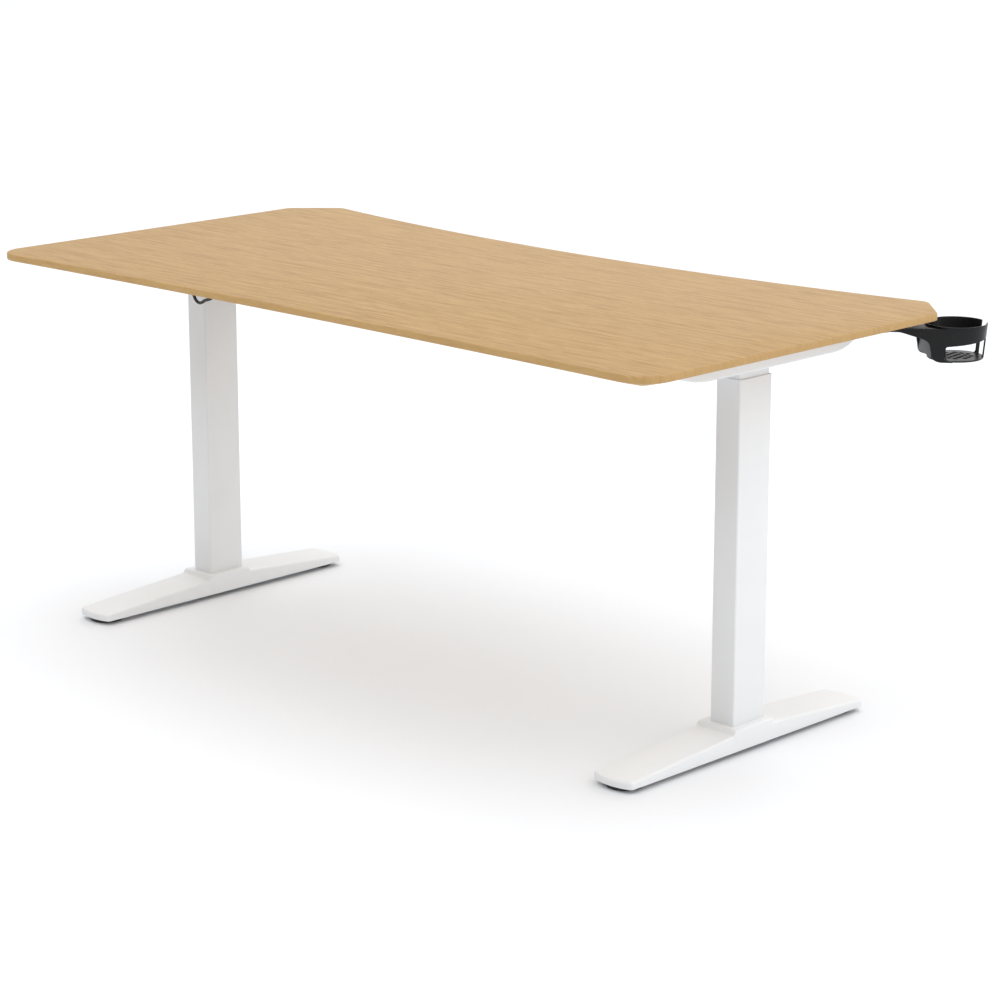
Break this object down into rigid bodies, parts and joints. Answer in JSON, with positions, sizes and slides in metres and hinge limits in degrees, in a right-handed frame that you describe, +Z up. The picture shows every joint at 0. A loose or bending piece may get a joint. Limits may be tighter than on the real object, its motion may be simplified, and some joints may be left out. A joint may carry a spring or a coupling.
{
  "type": "height adjustable standing desk",
  "caption": "Electric sit-stand desk: oak veneer top with a bevelled edge, concave front and cut corners, on white telescopic columns with T feet, and a swivelling cup holder.",
  "frame": {"origin": "on the floor, at the centre of the desk's whole footprint, cup holder included; the point midway between the two columns is 18.75 mm towards +X and 25.25 mm towards +Y from it", "axes": "+Z up, +X along the desk to the user's right, +Y from the front, where the user sits, to the rear"},
  "size_m": [1.6375, 0.8464, 0.7],
  "materials": {
    "oak_veneer": "light oak veneer, open straight grain along the length, satin lacquer",
    "white_powder_coat": "white powder coat, fine orange-peel texture, low sheen",
    "zinc_steel": "bright zinc plated",
    "bearing_steel": "ground and polished",
    "bronze": "machined bronze",
    "cast_aluminium": "as cast",
    "motor_steel": "black paint, satin",
    "slide_plastic": "moulded acetal",
    "pad_plastic": "moulded nylon, matt",
    "box_plastic": "moulded, fine spark texture",
    "board_green": "circuit board lacquer",
    "face_gloss": "gloss black",
    "button_plastic": "satin",
    "cable_black": "matt flexible sheath",
    "cup_plastic": "moulded, fine satin texture"
  },
  "bodies": {
    "base": {"left_foot": "white_powder_coat", "left_outer_tube": "white_powder_coat", "left_guide_sleeve": "slide_plastic", "left_nut_tube": "zinc_steel", "left_spindle_nut": "bronze", "right_foot": "white_powder_coat", "right_outer_tube": "white_powder_coat", "right_guide_sleeve": "slide_plastic", "right_nut_tube": "zinc_steel", "right_spindle_nut": "bronze", "foot_bolts": "zinc_steel"},
    "lift": {"desktop": "oak_veneer", "desktop_screws": "zinc_steel", "left_side_arm": "white_powder_coat", "left_inner_tube": "white_powder_coat", "left_tube_liner": "slide_plastic", "left_gearbox_case": "cast_aluminium", "left_motor": "motor_steel", "right_side_arm": "white_powder_coat", "right_inner_tube": "white_powder_coat", "right_tube_liner": "slide_plastic", "right_gearbox_case": "cast_aluminium", "right_motor": "motor_steel", "front_rail": "white_powder_coat", "rear_rail": "white_powder_coat", "rail_bolts": "zinc_steel", "spindle_bearings": "bearing_steel", "control_box_case": "box_plastic", "control_box_lid": "box_plastic", "control_board": "board_green", "mains_inlet": "box_plastic", "handset_case": "box_plastic", "handset_face": "face_gloss", "left_motor_cable": "cable_black", "right_motor_cable": "cable_black", "handset_cable": "cable_black", "cable_clips": "box_plastic", "cup_mount_plate": "motor_steel", "cup_pivot_screw": "zinc_steel"},
    "left_spindle": {"left_spindle": "zinc_steel", "left_worm_wheel": "bronze"},
    "left_worm": {"left_worm_shaft": "zinc_steel"},
    "left_front_pad": {"left_front_pad": "pad_plastic"},
    "left_front_stud": {"left_front_stud": "zinc_steel"},
    "left_rear_pad": {"left_rear_pad": "pad_plastic"},
    "left_rear_stud": {"left_rear_stud": "zinc_steel"},
    "right_spindle": {"right_spindle": "zinc_steel", "right_worm_wheel": "bronze"},
    "right_worm": {"right_worm_shaft": "zinc_steel"},
    "right_front_pad": {"right_front_pad": "pad_plastic"},
    "right_front_stud": {"right_front_stud": "zinc_steel"},
    "right_rear_pad": {"right_rear_pad": "pad_plastic"},
    "right_rear_stud": {"right_rear_stud": "zinc_steel"},
    "cup_holder": {"cup_holder": "cup_plastic"},
    "up_button": {"up_button": "button_plastic"},
    "down_button": {"down_button": "button_plastic"},
    "memory_button_1": {"memory_button_1": "button_plastic"},
    "memory_button_2": {"memory_button_2": "button_plastic"},
    "memory_button_3": {"memory_button_3": "button_plastic"}
  },
  "joints": [
    {"name": "lift", "type": "slide", "parent": "base", "child": "lift", "axis": [0, 0, 1], "range_m": [0, 0.48]},
    {"name": "left_spindle_turn", "type": "hinge", "parent": "lift", "child": "left_spindle", "pos_m": [-0.63975, 0.02525, 0.4], "axis": [0, 0, 1], "range_deg": [0, 21600]},
    {"name": "left_worm_turn", "type": "hinge", "parent": "lift", "child": "left_worm", "pos_m": [-0.63975, 0.04925, 0.655], "axis": [1, 0, 0], "range_deg": [0, 259201]},
    {"name": "left_front_level", "type": "slide", "parent": "base", "child": "left_front_pad", "axis": [0, 0, -1], "range_m": [0, 0.006]},
    {"name": "left_front_stud_turn", "type": "hinge", "parent": "left_front_pad", "child": "left_front_stud", "pos_m": [-0.63975, -0.23075, 0.01], "axis": [0, 0, -1], "range_deg": [0, 1729]},
    {"name": "left_rear_level", "type": "slide", "parent": "base", "child": "left_rear_pad", "axis": [0, 0, -1], "range_m": [0, 0.006]},
    {"name": "left_rear_stud_turn", "type": "hinge", "parent": "left_rear_pad", "child": "left_rear_stud", "pos_m": [-0.63975, 0.30325, 0.01], "axis": [0, 0, -1], "range_deg": [0, 1729]},
    {"name": "right_spindle_turn", "type": "hinge", "parent": "lift", "child": "right_spindle", "pos_m": [0.67725, 0.02525, 0.4], "axis": [0, 0, 1], "range_deg": [0, 21600]},
    {"name": "right_worm_turn", "type": "hinge", "parent": "lift", "child": "right_worm", "pos_m": [0.67725, 0.04925, 0.655], "axis": [1, 0, 0], "range_deg": [0, 259201]},
    {"name": "right_front_level", "type": "slide", "parent": "base", "child": "right_front_pad", "axis": [0, 0, -1], "range_m": [0, 0.006]},
    {"name": "right_front_stud_turn", "type": "hinge", "parent": "right_front_pad", "child": "right_front_stud", "pos_m": [0.67725, -0.23075, 0.01], "axis": [0, 0, -1], "range_deg": [0, 1729]},
    {"name": "right_rear_level", "type": "slide", "parent": "base", "child": "right_rear_pad", "axis": [0, 0, -1], "range_m": [0, 0.006]},
    {"name": "right_rear_stud_turn", "type": "hinge", "parent": "right_rear_pad", "child": "right_rear_stud", "pos_m": [0.67725, 0.30325, 0.01], "axis": [0, 0, -1], "range_deg": [0, 1729]},
    {"name": "cup_swivel", "type": "hinge", "parent": "lift", "child": "cup_holder", "pos_m": [-0.69455, -0.26836, 0.667], "axis": [0, 0, 1], "range_deg": [-30, 110]},
    {"name": "up_press", "type": "slide", "parent": "lift", "child": "up_button", "axis": [0, 1, 0], "range_m": [0, 0.001], "stiffness_N_per_m": 400},
    {"name": "down_press", "type": "slide", "parent": "lift", "child": "down_button", "axis": [0, 1, 0], "range_m": [0, 0.001], "stiffness_N_per_m": 400},
    {"name": "memory_press_1", "type": "slide", "parent": "lift", "child": "memory_button_1", "axis": [0, 1, 0], "range_m": [0, 0.001], "stiffness_N_per_m": 400},
    {"name": "memory_press_2", "type": "slide", "parent": "lift", "child": "memory_button_2", "axis": [0, 1, 0], "range_m": [0, 0.001], "stiffness_N_per_m": 400},
    {"name": "memory_press_3", "type": "slide", "parent": "lift", "child": "memory_button_3", "axis": [0, 1, 0], "range_m": [0, 0.001], "stiffness_N_per_m": 400}
  ],
  "couplings": [
    {"joint": "left_spindle_turn", "follows": "lift", "rad_per_m": 785.4},
    {"joint": "left_worm_turn", "follows": "lift", "rad_per_m": 9424.8},
    {"joint": "left_front_stud_turn", "follows": "left_front_level", "rad_per_m": 5026.5},
    {"joint": "left_rear_stud_turn", "follows": "left_rear_level", "rad_per_m": 5026.5},
    {"joint": "right_spindle_turn", "follows": "lift", "rad_per_m": 785.4},
    {"joint": "right_worm_turn", "follows": "lift", "rad_per_m": 9424.8},
    {"joint": "right_front_stud_turn", "follows": "right_front_level", "rad_per_m": 5026.5},
    {"joint": "right_rear_stud_turn", "follows": "right_rear_level", "rad_per_m": 5026.5}
  ]
}
